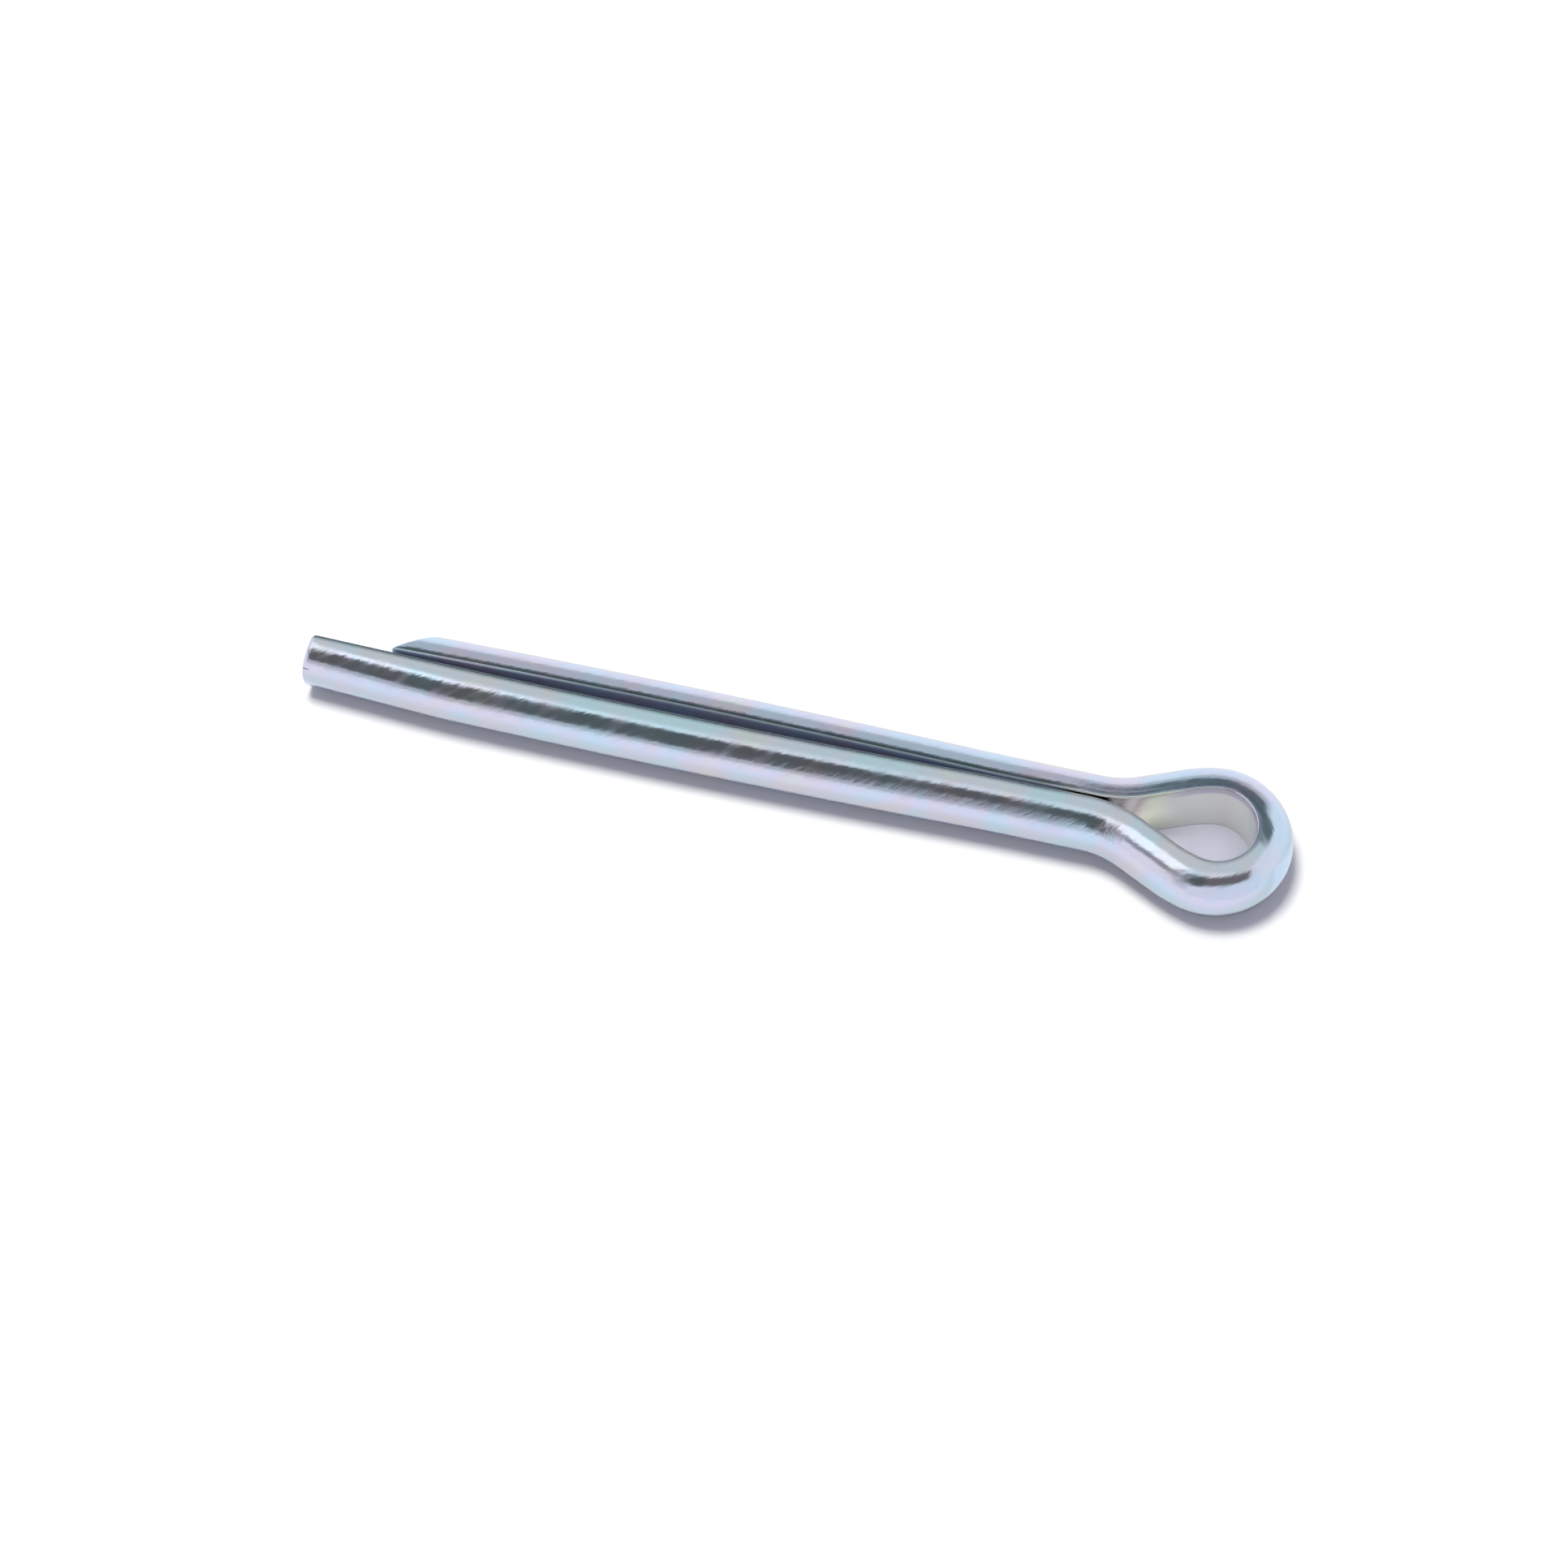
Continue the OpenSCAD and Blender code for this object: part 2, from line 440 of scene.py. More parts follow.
# %% [markdown]
# ## Zinc finish
# The pin is drawn steel wire with a thin coat of bright zinc. The coat mirrors the room, is a
# little uneven, and its clear passivation gives it a weak sheen of lavender, sky blue and pale
# green that drifts along the wire. All of this is one material. Its nodes could be placed by
# hand, but in a script they read more easily when each node is one call that names its kind and
# what goes into it, so a small helper comes first.

# %% Helpers for nodes
def add_node(tree, kind, inputs=None, **settings):
    """Adds a node. Each input is a value, or the output of another node to link it to."""
    node = tree.nodes.new(kind)
    for name, value in settings.items():
        setattr(node, name, value)
    for name, value in (inputs or {}).items():
        if isinstance(value, bpy.types.NodeSocket):
            tree.links.new(value, node.inputs[name])
        else:
            node.inputs[name].default_value = value
    return node


def calculate(tree, operation, first, second=0.0, third=0.0):
    """The output of a Math node."""
    node = add_node(tree, "ShaderNodeMath", {0: first, 1: second, 2: third}, operation=operation)
    return node.outputs[0]


def fade(tree, value, start, finish, low=0.0, high=1.0):
    """Goes smoothly from low at start to high at finish."""
    inputs = {"Value": value, "From Min": start, "From Max": finish, "To Min": low, "To Max": high}
    node = add_node(tree, "ShaderNodeMapRange", inputs, interpolation_type="SMOOTHSTEP")
    return node.outputs[0]


# %% [markdown]
# ### Where a point is on the wire
# The attribute tells each point's place on the straight wire. From that, the legs are told from
# the eye, the flat from the round side, and the cut ends from both. The angle round the section,
# times the distance from its middle, gives a second direction in which the surface can be
# unrolled, so that marks keep their true size. Whether a point is on the leg, the flat or a cut
# end is told by a number from 0 to 1 that fades over a short way, because a sharp limit would
# show as a painted line. Lengths in this material are in millimetres.

# %% Zinc: unrolled surface
zinc = bpy.data.materials.new("zinc_plate")
zinc.use_nodes = True
tree = zinc.node_tree
shader = tree.nodes["Principled BSDF"]
on_wire = add_node(tree, "ShaderNodeAttribute", attribute_name="straight")
in_mm = add_node(
    tree, "ShaderNodeVectorMath", {0: on_wire.outputs["Vector"], "Scale": 1 / MM},
    operation="SCALE",
).outputs[0]
axes = add_node(tree, "ShaderNodeSeparateXYZ", {0: in_mm})
along, outward, height = axes.outputs[0], axes.outputs[1], axes.outputs[2]
reach = calculate(tree, "SQRT", calculate(
    tree, "ADD", calculate(tree, "POWER", outward, 2.0), calculate(tree, "POWER", height, 2.0)
))
around = calculate(tree, "MULTIPLY", calculate(tree, "ARCTAN2", height, outward), reach)
unrolled = add_node(tree, "ShaderNodeCombineXYZ", {0: along, 1: around}).outputs[0]
print("material", zinc.name, "reads the attribute", on_wire.attribute_name)

# %% Zinc: cut ends
CUT_START = 0.08
CUT_FULL = 0.02


def on_cut_end(side, start, leg_l, slant):
    """1 on a leg's cut end. Its plane is told from the place on the straight wire."""
    lean = math.tan(slant)
    tip = leg_l / MM + HALF_GAP / MM * lean
    gone = calculate(tree, "MULTIPLY_ADD", along, side, -start)
    level = calculate(tree, "MULTIPLY_ADD", outward, lean, gone)
    return fade(tree, level, tip - CUT_START, tip - CUT_FULL)


cut_end = calculate(
    tree, "MAXIMUM",
    on_cut_end(1, eye_l / MM, SHORT_LEG, SHORT_TIP_CUT),
    on_cut_end(-1, 0, SHORT_LEG + LEG_STEP, -LONG_TIP_CUT),
)
uncut = calculate(tree, "SUBTRACT", 1.0, cut_end)
print("cut ends start, mm along each leg:", SHORT_LEG / MM, round((SHORT_LEG + LEG_STEP) / MM, 2))

# %% Zinc: legs, flats and edges
LEG_START = 0.3
LEG_FULL = 2.5
FLAT_LIMIT = (0.16, 0.06)
EDGE_LIMIT = (0.36, 0.14)
half_eye = eye_l / MM / 2
from_crown = calculate(tree, "ABSOLUTE", calculate(tree, "SUBTRACT", along, half_eye))
on_leg = fade(tree, from_crown, half_eye + LEG_START, half_eye + LEG_FULL)
on_eye = calculate(tree, "SUBTRACT", 1.0, on_leg)
on_flat = calculate(tree, "MULTIPLY", uncut, fade(tree, outward, *FLAT_LIMIT))
by_edge = calculate(tree, "MULTIPLY", uncut, fade(tree, outward, *EDGE_LIMIT))
print("middle of the crown, mm along the wire:", round(half_eye, 2))

# %% Helper for spots
def spot(at_along, at_around, long, wide):
    """1 in the middle of an oval spot on the unrolled wire, fading to 0 at its rim, in mm."""
    middle = (at_along, at_around, 0)
    shares = (1 / long, 1 / wide, 1)
    gap = add_node(tree, "ShaderNodeVectorMath", {0: unrolled, 1: middle}, operation="SUBTRACT")
    scaled = add_node(
        tree, "ShaderNodeVectorMath", {0: gap.outputs[0], 1: shares}, operation="MULTIPLY"
    )
    distance = add_node(tree, "ShaderNodeVectorMath", {0: scaled.outputs[0]}, operation="LENGTH")
    return fade(tree, distance.outputs["Value"], 1.0, 0.0)


# %% [markdown]
# ### Colour of the plating
# The thin film on passivated zinc shows faint colours where its thickness changes. The shader has
# a thin film of its own, but it makes strong rainbows that are hard to place. So a soft noise
# picks from a few tints. It is a noise in three dimensions, on the place on the straight wire, so
# it has no seam where the section closes. Inside the eye the colour follows the wire's length
# instead: the plating there is greyer and a little green, and its lightness along the walls is a
# painted reflection of the tone they mirror. The upper lip of its far wall is a darker lavender
# again, a painted shade that dims the highlight of its rounded edge.

# %% Zinc: tints
SHEEN_TINTS = (
    (0.28, (0.53, 0.69, 0.84)),
    (0.42, (0.55, 0.68, 0.83)),
    (0.52, (0.62, 0.64, 0.80)),
    (0.60, (0.66, 0.63, 0.75)),
    (0.72, (0.60, 0.70, 0.71)),
)
# Inside the eye: partly the plating's own greyer, greener tint, and partly a painted reflection,
# since the lightness along the walls stands in for the tone they mirror.
EYE_TINTS_AND_REFLECTION = (
    (8.4, (0.78, 0.82, 0.83)),
    (9.6, (0.98, 1.0, 0.90)),
    (10.6, (0.95, 1.0, 0.85)),
    (11.9, (0.90, 0.89, 0.77)),
    (12.8, (0.90, 0.93, 0.80)),
    (14.6, (0.92, 0.94, 0.80)),
    (15.3, (0.86, 0.92, 0.70)),
    (15.9, (0.90, 0.80, 0.78)),
    (17.4, (0.74, 0.73, 0.74)),
)
EYE_TINTS_AND_REFLECTION_RANGE = (8.0, 18.0)
print("tints of the sheen:", len(SHEEN_TINTS), "and inside the eye:", len(EYE_TINTS_AND_REFLECTION))

# %% Helpers for colour and noise
def ramp_of(tree, value, stops, low=0.0, high=1.0):
    """Colours at the given places of a value, blended between them."""
    spread = calculate(tree, "DIVIDE", calculate(tree, "SUBTRACT", value, low), high - low)
    node = add_node(tree, "ShaderNodeValToRGB", {0: spread})
    elements = node.color_ramp.elements
    while len(elements) < len(stops):
        elements.new(1.0)
    for element, (stop, tint) in zip(elements, stops):
        element.position = (stop - low) / (high - low)
        element.color = (*tint, 1)
    return node.outputs[0]


def mixed_colour(tree, factor, first, second, blend="MIX"):
    """The first colour where the factor is 0, and the second, or its blend, where it is 1."""
    node = add_node(
        tree, "ShaderNodeMix", {"Factor": factor, "A": first, "B": second},
        data_type="RGBA", blend_type=blend,
    )
    return node.outputs["Result"]


def noise(tree, vector, scale=1.0, detail=2.0, grain=0.6, dimensions="2D"):
    """A soft noise from 0 to 1. Its grain is how strongly the finer detail shows."""
    inputs = {"Vector": vector, "Scale": scale, "Detail": detail, "Roughness": grain}
    return add_node(tree, "ShaderNodeTexNoise", inputs, noise_dimensions=dimensions).outputs[0]


# %% Zinc: sheen
SHEEN_PATCH = 3.4
SHEEN_SHIFT = (29.1, 46.2, 41.5)
shifted = add_node(
    tree, "ShaderNodeVectorMath", {0: in_mm, 1: SHEEN_SHIFT}, operation="ADD"
).outputs[0]
patches = noise(tree, shifted, 1 / SHEEN_PATCH, detail=3.0, dimensions="3D")
sheen = ramp_of(tree, patches, SHEEN_TINTS)
in_eye = calculate(tree, "MULTIPLY", on_flat, on_eye)
# Inside the eye the wire's length picks the colour, with its painted reflection.
colour = mixed_colour(tree, in_eye, sheen, ramp_of(tree, along, EYE_TINTS_AND_REFLECTION, *EYE_TINTS_AND_REFLECTION_RANGE))
print("a patch of sheen is about", SHEEN_PATCH, "mm long")

# %% Zinc: painted shade on the lip of the eye
# The rounded upper lip of the eye's far wall is lavender like the sheen, and darker: a painted
# shade that dims the highlight of that edge.
LIP_SHADE_AND_TINT = (0.70, 0.66, 0.82, 1)
LIP_HEIGHT = (1.2, 1.4)
LIP_START = (8.2, 9.2)
LIP_END = (15.0, 13.4)
edge_of_eye = calculate(tree, "MULTIPLY", by_edge, on_eye)
lip = calculate(tree, "MULTIPLY", edge_of_eye, fade(tree, height, *LIP_HEIGHT))
lip = calculate(tree, "MULTIPLY", lip, fade(tree, along, *LIP_START))
lip = calculate(tree, "MULTIPLY", lip, fade(tree, along, *LIP_END))
# Multiplies in the painted shade on the lip.
colour = mixed_colour(tree, lip, colour, LIP_SHADE_AND_TINT, "MULTIPLY")
print("lip of the eye", LIP_SHADE_AND_TINT[:3])

# %% [markdown]
# ### Painted shade along the slit, and a nick
# The rounded edges of the flats along the slit between the legs are painted darker: a painted
# shade, which also dims their highlights. It is painted lighter toward the short tip. The long leg
# has one small nick from a tool.

# %% Zinc: painted shade along the slit, and a nick
# Colour of the painted shade along the slit between the legs, and how strong it is at the short
# tip and at the neck.
SLIT_SHADE = (0.20, 0.26, 0.31, 1)
SLIT_SHADE_AT_TIP = 0.45
SLIT_SHADE_AT_NECK = 0.9
SLIT_SHADE_FADE = (3.0, 12.0)
FLAT_RIM = (1.78, 1.70)
FLAT_SPARED = 0.9
NICK = (0.10, 0.10, 0.14, 1)
NICK_SPOT = {"at_along": -36.9, "at_around": 0.82, "long": 0.3, "wide": 0.07}
# The painted shade lies on the rounded edges of the flats; the inner flats are spared.
inner_flat = calculate(
    tree, "MULTIPLY", on_flat, fade(tree, calculate(tree, "ABSOLUTE", height), *FLAT_RIM)
)
slit_shade = calculate(
    tree, "MULTIPLY", on_leg, calculate(tree, "MULTIPLY_ADD", inner_flat, -FLAT_SPARED, by_edge)
)
to_short_tip = calculate(tree, "SUBTRACT", eye_l / MM + SHORT_LEG / MM, along)
slit_shade_level = fade(tree, to_short_tip, *SLIT_SHADE_FADE, SLIT_SHADE_AT_TIP, SLIT_SHADE_AT_NECK)
# Mixes in the painted shade along the slit, lighter toward the short tip.
colour = mixed_colour(tree, calculate(tree, "MULTIPLY", slit_shade, slit_shade_level), colour, SLIT_SHADE)
nick = calculate(tree, "MULTIPLY", uncut, spot(**NICK_SPOT))
colour = mixed_colour(tree, nick, colour, NICK)
tree.links.new(colour, shader.inputs["Base Color"])
print("painted_slit_shade", SLIT_SHADE[:3], "nick", NICK[:3])

# %% [markdown]
# ### Relief
# A mirror shows the least unevenness of its surface. This relief is only some thousandths of a
# millimetre deep, far too shallow for the outline, so a Bump node does it. Slanted rub marks come
# from the barrel in which the pins are plated, fine lines along the wire from the die that it was
# drawn through, a wavy spot at the neck from the bending tool, and lines across the cut ends from
# the shear.

# %% Zinc: rub marks and drawing lines
RUB_SLANT = math.radians(38)
RUB_SIZE = (1.1, 0.28)
LINES_PER_MM = (0.12, 7.0, 1)
LINE_DEPTH = 0.15


def rubbed(tree, size, grain):
    """A noise in slanted marks on the unrolled wire, of about this length and width."""
    inputs = {"Vector": unrolled, "Rotation": (0, 0, RUB_SLANT), "Scale": (*size, 1)}
    slanted = add_node(tree, "ShaderNodeMapping", inputs, vector_type="TEXTURE")
    return noise(tree, slanted.outputs[0], detail=3.0, grain=grain)


rubs = rubbed(tree, RUB_SIZE, grain=0.55)
drawn = add_node(tree, "ShaderNodeMapping", {"Vector": unrolled, "Scale": LINES_PER_MM})
lines = noise(tree, drawn.outputs[0])
ripple = calculate(tree, "MULTIPLY_ADD", lines, LINE_DEPTH, rubs)
print("rub marks slant", round(math.degrees(RUB_SLANT)), "degrees across the wire")

# %% Zinc: bent spot and shear marks
WAVES_PER_MM = 1.6
WAVE_DEPTH = 3.0
BENT_SPOT = {"at_along": 1.9, "at_around": 1.5, "long": 2.4, "wide": 1.2}
SHEAR_MARKS_PER_MM = (0, 0.7, 9.0)
SHEAR_DEPTH = 1.5
RELIEF = 0.007
waves = noise(tree, unrolled, WAVES_PER_MM, grain=0.55)
bent_spot = spot(**BENT_SPOT)
waves = calculate(tree, "MULTIPLY", waves, bent_spot)
ripple = calculate(tree, "MULTIPLY_ADD", waves, WAVE_DEPTH, ripple)
sheared = add_node(tree, "ShaderNodeMapping", {"Vector": in_mm, "Scale": SHEAR_MARKS_PER_MM})
shear_marks = noise(tree, sheared.outputs[0], dimensions="3D")
shear_marks = calculate(tree, "MULTIPLY", shear_marks, cut_end)
ripple = calculate(tree, "MULTIPLY_ADD", shear_marks, SHEAR_DEPTH, ripple)
bump = add_node(
    tree, "ShaderNodeBump", {"Height": ripple, "Strength": 1.0, "Distance": RELIEF * MM}
)
tree.links.new(bump.outputs[0], shader.inputs["Normal"])
print("relief in mm:", RELIEF)

# %% [markdown]
# ### Gloss
# The plating is a little less bright where it has been bent or cut, on the rounded edge of the
# eye, and in slanted streaks that the barrel has rubbed, which cloud the dark bands. The flats of
# the legs lie against each other in the bath, so they get less zinc, which stays dull and grey.
# Roughness and Metallic follow the same places as before.

# %% Zinc: gloss
STREAK_SIZE = (2.2, 0.6)
STREAK_RANGE = (0.42, 0.70)
ROUGH_CLEAR = 0.12
ROUGH_STREAK = 0.235
ROUGHER_BENT = 0.06
ROUGHER_CUT = 0.2
ROUGHER_EYE_EDGE = 0.25
ROUGHER_DULL = 0.25
METALLIC_DULL = 0.55
dull = calculate(tree, "MULTIPLY", on_leg, on_flat)
tree.links.new(fade(tree, dull, 0.0, 1.0, 1.0, METALLIC_DULL), shader.inputs["Metallic"])
streaks = rubbed(tree, STREAK_SIZE, grain=0.6)
roughness = fade(tree, streaks, *STREAK_RANGE, ROUGH_CLEAR, ROUGH_STREAK)
roughness = calculate(tree, "MULTIPLY_ADD", bent_spot, ROUGHER_BENT, roughness)
roughness = calculate(tree, "MULTIPLY_ADD", cut_end, ROUGHER_CUT, roughness)
off_flat = calculate(tree, "SUBTRACT", 1.0, on_flat)
round_edge = calculate(tree, "MULTIPLY", edge_of_eye, off_flat)
roughness = calculate(tree, "MULTIPLY_ADD", round_edge, ROUGHER_EYE_EDGE, roughness)
roughness = calculate(tree, "MULTIPLY_ADD", dull, ROUGHER_DULL, roughness)
tree.links.new(roughness, shader.inputs["Roughness"])
pin.data.materials.clear()
pin.data.materials.append(zinc)
print("nodes in the zinc:", len(tree.nodes), "on", pin.name)

# %% [markdown]
# ## Table and light
# A mirror has hardly a look of its own: it shows what stands round it. So the table, the room and
# the cards matter more here than the lamp. Each has one tone for the rays that see it, from the
# camera or by way of the metal, and another for the light that it sheds. That gives a white
# background without more light on the pin. A ray that has already met a dull surface no longer
# counts as one that sees, or light mirrored by the pin would draw bright streaks on the table.

# %% Helper for what is seen directly
def seen_directly(tree, path):
    """1 where a camera, mirror or see-through ray meets the surface, 0 where light only lands.

    Diffuse Depth counts the dull surfaces that the ray has met, and has to be 0 still.
    """
    camera_ray, glossy_ray = path.outputs["Is Camera Ray"], path.outputs["Is Glossy Ray"]
    looks = calculate(tree, "MAXIMUM", camera_ray, glossy_ray)
    looks = calculate(tree, "MAXIMUM", looks, path.outputs["Is Transmission Ray"])
    first = calculate(tree, "LESS_THAN", path.outputs["Diffuse Depth"], 0.5)
    return calculate(tree, "MULTIPLY", looks, first)


# %% [markdown]
# ### The table
# The table is a plain white sheet at the height of the pin's lowest points. It is seen as white
# and sheds less light than that, as paper in the shade of a dark room does. Right beside the wire
# the metal mirrors it a little warmer and darker, from the wire's own shade on it. The lamp
# lights only the middle of so wide a sheet, so beyond the shadow's reach it fades into an even
# white of strength 1, which meets the white room at the horizon without an edge.

# %% Table
PAPER_LIT = (0.4, 0.4, 0.4, 1)
PAPER_SEEN = (1, 1, 1, 1)
PAPER_NEAR = (0.88, 0.87, 0.80, 1)
PAPER_LIFT = 0.05
TABLE_SIZE = 3
UNDER_PIN = (1.9 * MM, 2.3 * MM)
NEAR_PIN = (2.3 * MM, 8 * MM)
FAR_FROM_PIN = (60 * MM, 140 * MM)

deselect_everything()
bpy.ops.mesh.primitive_plane_add(size=TABLE_SIZE, location=(0, 0, cad_low.z))
table = bpy.context.object
table.name = "table"
table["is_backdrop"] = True
paper = bpy.data.materials.new("white_paper")
paper.use_nodes = True
tree = paper.node_tree
tree.nodes.clear()
path = add_node(tree, "ShaderNodeLightPath")
seen = seen_directly(tree, path)
on_table = add_node(tree, "ShaderNodeTexCoord").outputs["Object"]
print("table at the height of", round(cad_low.z / MM, 3), "mm")

# %% Paper beside the pin
off_axis = add_node(tree, "ShaderNodeSeparateXYZ", {0: on_table}).outputs[1]
off_axis = calculate(tree, "ABSOLUTE", off_axis)
near = fade(tree, off_axis, *NEAR_PIN, 1.0, 0.0)
near = calculate(tree, "MULTIPLY", near, fade(tree, off_axis, *UNDER_PIN))
near = calculate(tree, "MULTIPLY", near, path.outputs["Is Glossy Ray"])
mirrored = mixed_colour(tree, near, PAPER_SEEN, PAPER_NEAR)
tone = mixed_colour(tree, seen, PAPER_LIT, mirrored)
diffuse = add_node(tree, "ShaderNodeBsdfDiffuse", {"Color": tone})
lift = calculate(tree, "MULTIPLY", path.outputs["Is Camera Ray"], PAPER_LIFT)
glow = add_node(tree, "ShaderNodeEmission", {"Strength": lift})
both = add_node(tree, "ShaderNodeAddShader", {0: diffuse.outputs[0], 1: glow.outputs[0]})
print("paper seen", PAPER_SEEN[:3], "lit", PAPER_LIT[:3], "beside the pin", PAPER_NEAR[:3])

# %% Paper far from the pin
from_pin = add_node(tree, "ShaderNodeVectorMath", {0: on_table}, operation="LENGTH")
far = fade(tree, from_pin.outputs["Value"], *FAR_FROM_PIN)
far = calculate(tree, "MULTIPLY", far, seen)
white = add_node(tree, "ShaderNodeEmission", {"Color": PAPER_SEEN, "Strength": 1.0})
surface = add_node(
    tree, "ShaderNodeMixShader", {0: far, 1: both.outputs[0], 2: white.outputs[0]}
)
add_node(tree, "ShaderNodeOutputMaterial", {"Surface": surface.outputs[0]})
table.data.materials.append(paper)
print("all white beyond, mm:", round(FAR_FROM_PIN[1] / MM))

# %% [markdown]
# ### The room
# The room is white to whatever sees it, and sheds a weak, slightly blue light that fills the
# shadow. What the pin mirrors of that light onto the table is held lower still, so that it
# doesn't lighten the shadow beside it.

# %% World
ROOM_LIGHT = (0.34, 0.345, 0.43, 1)
ROOM_SEEN = (1, 1, 1, 1)
MIRRORED_SHARE = 0.6
world = bpy.data.worlds.new("studio")
bpy.context.scene.world = world
world.use_nodes = True
tree = world.node_tree
tree.nodes.clear()
path = add_node(tree, "ShaderNodeLightPath")
seen = seen_directly(tree, path)
tone = mixed_colour(tree, seen, ROOM_LIGHT, ROOM_SEEN)
to_table = calculate(tree, "SUBTRACT", path.outputs["Is Glossy Ray"], seen)
level = fade(tree, to_table, 0.0, 1.0, 1.0, MIRRORED_SHARE)
sky = add_node(tree, "ShaderNodeBackground", {"Color": tone, "Strength": level})
add_node(tree, "ShaderNodeOutputWorld", {"Surface": sky.outputs[0]})
print("room light", ROOM_LIGHT[:3], "and its share by way of the pin", MIRRORED_SHARE)

# %% [markdown]
# ### The lamp
# One soft lamp hangs above the pin, a little behind it and to the left, so that the shadow lies
# close along its front. A sun would give a hard shadow, and the room alone hardly any. Neither the
# camera nor the metal sees the lamp, because the cards make the highlights.

# %% Lamp
LAMP_PLACE = Vector((-0.10, 0.03, 0.5))
LAMP_SIZE = 0.14
LAMP_POWER = 1.9
LAMP_COLOUR = (1.0, 1.0, 0.93)
deselect_everything()
bpy.ops.object.light_add(type="AREA", location=LAMP_PLACE)
lamp = bpy.context.object
lamp.name = "overhead_lamp"
lamp.data.shape = "SQUARE"
lamp.data.size = LAMP_SIZE
lamp.data.energy = LAMP_POWER
lamp.data.color = LAMP_COLOUR
lamp.rotation_euler = LAMP_PLACE.to_track_quat("Z", "Y").to_euler()
lamp.visible_camera = False
lamp.visible_glossy = False
print("lamp seen from the pin, degrees:", round(math.degrees(LAMP_SIZE / LAMP_PLACE.length), 1))

# %% [markdown]
# ### Light in the eye
# The wall of the eye mirrors the small floor inside it, so the tone of that floor is the tone of
# the wall. To set it by itself, a scrim, which is a sheet of gauze, hangs over the eye and holds
# back the lamp, and a tiny lamp below it lights only that floor.

# %% Scrim over the eye
SCRIM_PASS = (0.03, 0.03, 0.06, 1)
SCRIM_R = 2.8 * MM
SCRIM_PLACE = (4.7 * MM, 0, 6 * MM)
SCRIM_POINTS = 48
deselect_everything()
bpy.ops.mesh.primitive_circle_add(
    vertices=SCRIM_POINTS, radius=SCRIM_R, fill_type="NGON", location=SCRIM_PLACE
)
scrim = bpy.context.object
scrim.name = "scrim"
gauze = bpy.data.materials.new("scrim")
gauze.use_nodes = True
tree = gauze.node_tree
tree.nodes.clear()
thin = add_node(tree, "ShaderNodeBsdfTransparent", {"Color": SCRIM_PASS})
add_node(tree, "ShaderNodeOutputMaterial", {"Surface": thin.outputs[0]})
scrim.data.materials.append(gauze)
scrim.visible_camera = False
scrim.visible_glossy = False
scrim.visible_diffuse = False
scrim.visible_transmission = False
scrim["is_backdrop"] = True
print("scrim lets through", SCRIM_PASS[:3])

# %% Lamp over the eye
EYE_LAMP_PLACE = (5.8 * MM, 0, 4.5 * MM)
EYE_LAMP_SIZE = 2.4 * MM
EYE_LAMP_POWER = 3.35e-5
EYE_LAMP_COLOUR = (0.86, 0.86, 1.0)
EYE_LAMP_SPREAD = math.radians(80)
deselect_everything()
bpy.ops.object.light_add(type="AREA", location=EYE_LAMP_PLACE)
eye_lamp = bpy.context.object
eye_lamp.name = "eye_lamp"
eye_lamp.data.shape = "DISK"
eye_lamp.data.size = EYE_LAMP_SIZE
eye_lamp.data.energy = EYE_LAMP_POWER
eye_lamp.data.color = EYE_LAMP_COLOUR
eye_lamp.data.spread = EYE_LAMP_SPREAD
eye_lamp.visible_camera = False
eye_lamp.visible_glossy = False
print("lamp over the eye, W:", EYE_LAMP_POWER)

# %% [markdown]
# ## Cards that the metal mirrors
# Each bright or dark band along the pin is a card that stands somewhere round it, as white cards
# and black flags are set round shiny goods in a studio. An image of a studio could do the same,
# but cards are a few numbers each and can be moved one by one. A card is a plane with an even
# glow and soft edges, and only mirrored rays see it. Where its edges fade it is clear, so cards
# may overlap: the nearer one wins. Each call below gives a card's name and glow, then its tilt,
# turn, width and height.

# %% Helper for cards
CARD_DISTANCE = 0.6
MIDDLE = 0.5


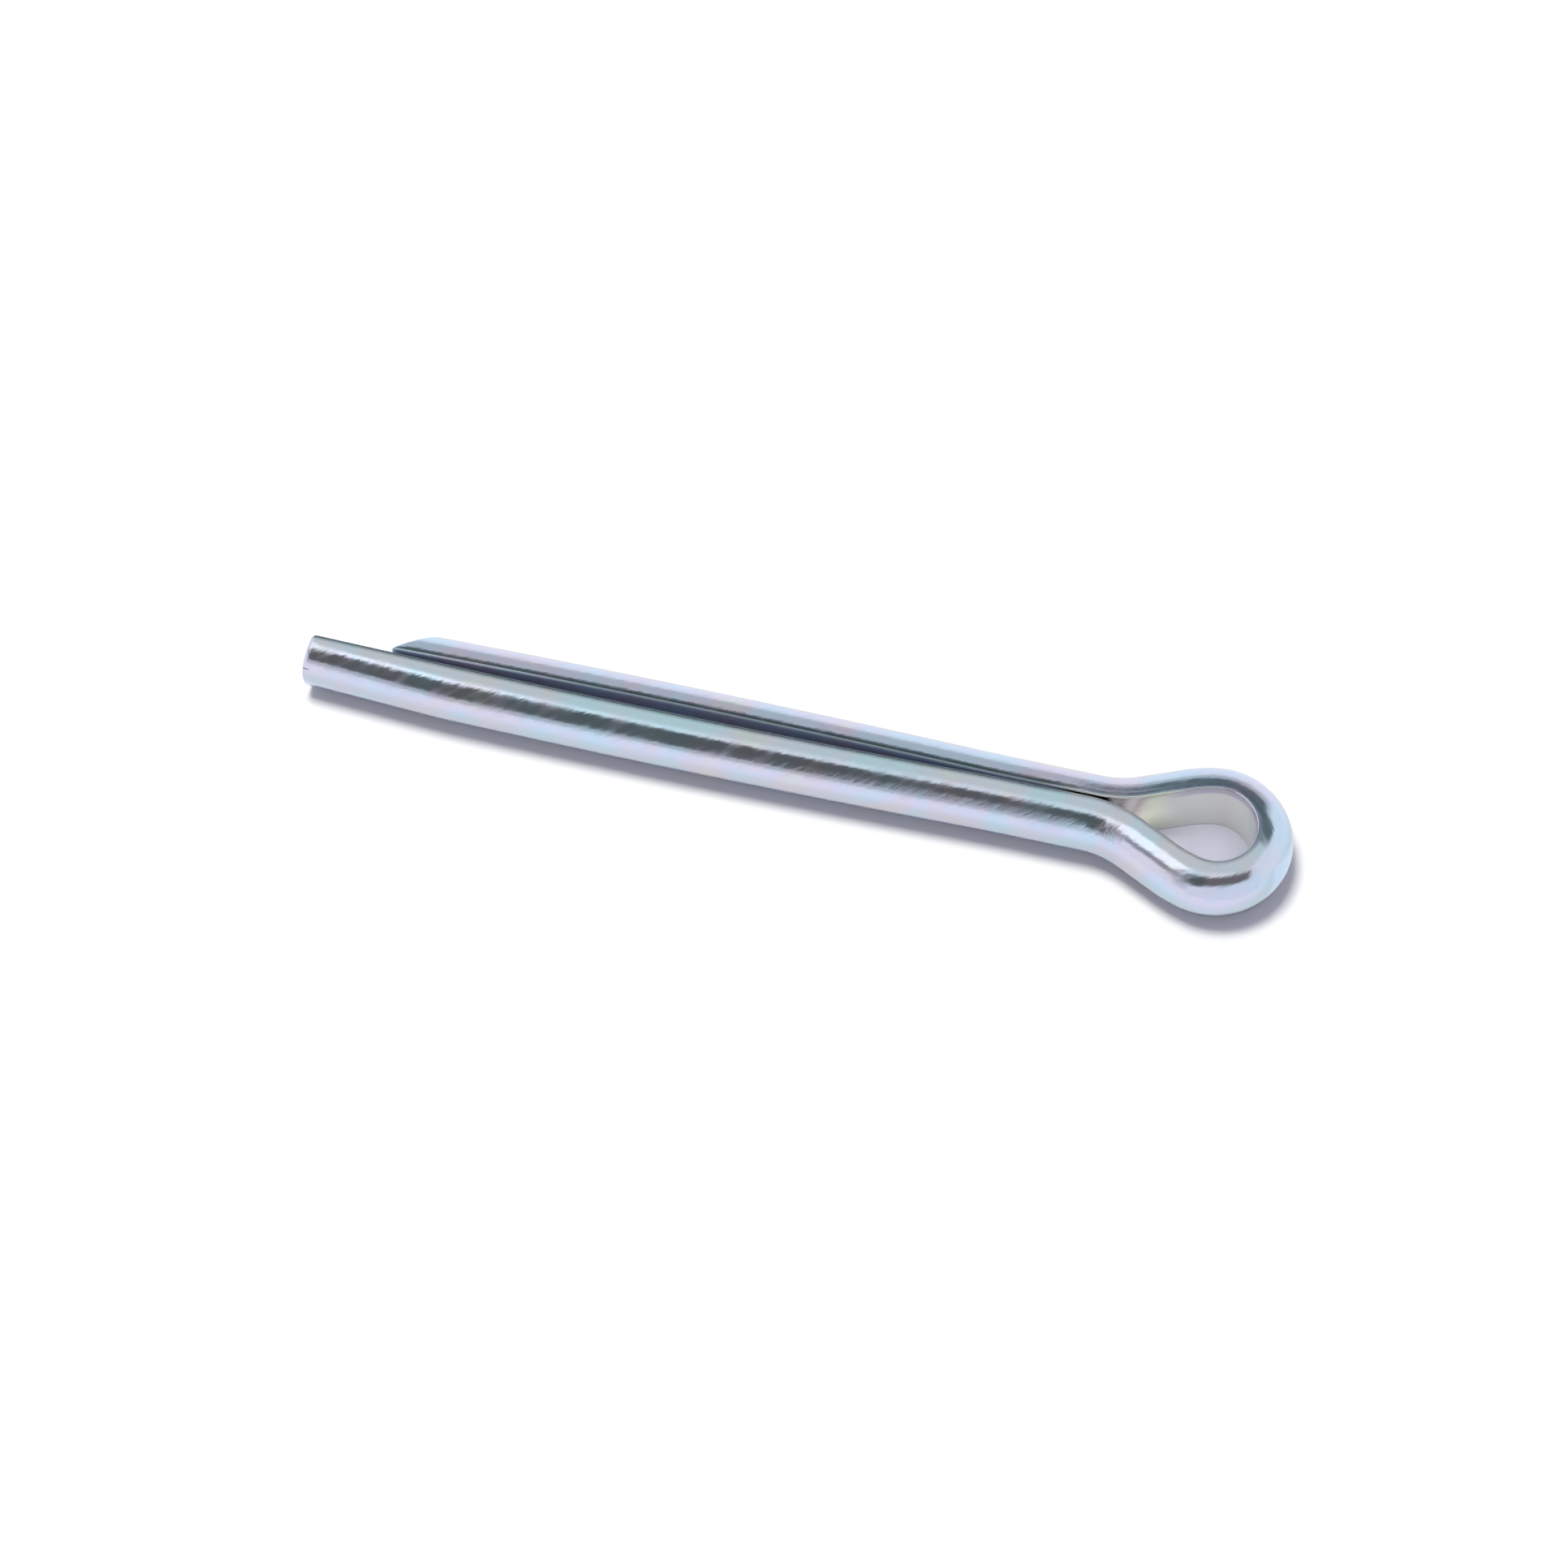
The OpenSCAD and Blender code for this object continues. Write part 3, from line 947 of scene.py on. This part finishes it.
def card(
    name, shade, tilt, turn, width, height,
    soft=8.0, distance=CARD_DISTANCE, seen_from=(0, 0, 0),
):
    """A card that faces the pin. Tilt is from straight above, turn from the front to the right.

    Its width, height and soft edge are angles as seen from the pin, in degrees.
    """
    tilt, turn = math.radians(tilt), math.radians(turn)
    level = math.sin(tilt)
    toward = Vector((level * math.sin(turn), -level * math.cos(turn), math.cos(tilt)))
    across = Vector((math.cos(turn), math.sin(turn), 0))
    upward = toward.cross(across)
    wide, high = (2 * distance * math.tan(math.radians(angle / 2)) for angle in (width, height))
    facing = Matrix((across, upward, toward)).transposed().to_4x4()
    deselect_everything()
    bpy.ops.mesh.primitive_plane_add(size=1)
    piece = bpy.context.object
    piece.name = name
    middle = Vector(seen_from) + toward * distance
    piece.matrix_world = Matrix.Translation(middle) @ facing @ Matrix.Diagonal((wide, high, 1, 1))
    bpy.ops.object.transform_apply(location=True, rotation=True, scale=True)
    material = bpy.data.materials.new(name)
    material.use_nodes = True
    tree = material.node_tree
    tree.nodes.clear()
    uv = add_node(tree, "ShaderNodeTexCoord").outputs["UV"]
    sides = add_node(tree, "ShaderNodeSeparateXYZ", {0: uv})
    edges = []
    for side, size in zip(sides.outputs, (width, height)):
        from_edge = calculate(tree, "PINGPONG", side, MIDDLE)
        edges.append(fade(tree, from_edge, 0.0, min(MIDDLE, soft / size)))
    seen = seen_directly(tree, add_node(tree, "ShaderNodeLightPath"))
    cover = calculate(tree, "MULTIPLY", calculate(tree, "MULTIPLY", *edges), seen)
    clear = add_node(tree, "ShaderNodeBsdfTransparent").outputs[0]
    glow = add_node(tree, "ShaderNodeEmission", {"Color": (*shade, 1)}).outputs[0]
    mixed = add_node(tree, "ShaderNodeMixShader", {0: cover, 1: clear, 2: glow})
    add_node(tree, "ShaderNodeOutputMaterial", {"Surface": mixed.outputs[0]})
    piece.data.materials.append(material)
    piece.visible_camera = False
    piece.visible_diffuse = False
    piece.visible_shadow = False
    piece.visible_transmission = False
    piece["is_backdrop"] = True
    print("card", name, "at", [round(v, 3) for v in middle])


# %% Bright cards
card("overhead_cloth", (0.74, 0.82, 0.74), 4, 90, 72, 74, soft=10, distance=0.66)
card("front_cloth", (0.94, 1.0, 0.94), 24, 14, 43, 26, soft=9, distance=0.64)
card("window", (1.35, 1.45, 1.40), 36, -52, 31, 31, soft=6, distance=0.55)

# %% Grey walls
card("front_wall", (0.60, 0.62, 0.62), 70, 16, 96, 38, soft=10, distance=0.63)
card("left_wall", (0.36, 0.36, 0.36), 56, -48, 40, 24, soft=9, distance=0.62)
card("rear_wall", (0.62, 0.62, 0.62), 66, 180, 70, 40, soft=10, distance=0.63)

# %% Dark flags
card("front_flag", (0.20, 0.18, 0.17), 41, 22, 74, 34, soft=8, distance=0.60)
card("camera_bar", (0.125, 0.135, 0.125), 53, -15, 28, 48, soft=8, distance=0.58)
card("rear_flag", (0.15, 0.16, 0.16), 37, 181, 90, 32, soft=7)

# %% [markdown]
# A far card looks the same from the whole pin. So the last two stand only a centimetre from the
# eye, one in front and one behind, where the eye mirrors them and the legs hardly do.

# %% Cards by the eye
NEAR_CARD = 10 * MM
EYE_FRONT = (5 * MM, -3.5 * MM, 1 * MM)
EYE_REAR = (5 * MM, 3.3 * MM, 1 * MM)
card(
    "eye_slip", (0.92, 0.96, 0.98), 77, 28, 106, 54, soft=12,
    distance=NEAR_CARD, seen_from=EYE_FRONT,
)
card(
    "eye_flag", (0.16, 0.18, 0.18), 49, 172, 76, 34, soft=10,
    distance=NEAR_CARD, seen_from=EYE_REAR,
)

# %% [markdown]
# ## Sizes
# The wire drawn here is made to stay inside the imported model's box, a hair within each side. The
# room left between the two boxes on each side is printed, so that they can be compared.

# %% Room left in the model's box
drawn_low, drawn_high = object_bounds()
low_room = [round((v - c) / MM, 3) for c, v in zip(cad_low, drawn_low)]
high_room = [round((c - v) / MM, 3) for c, v in zip(cad_high, drawn_high)]
print("room left in the model's box, mm:", low_room, "and", high_room)
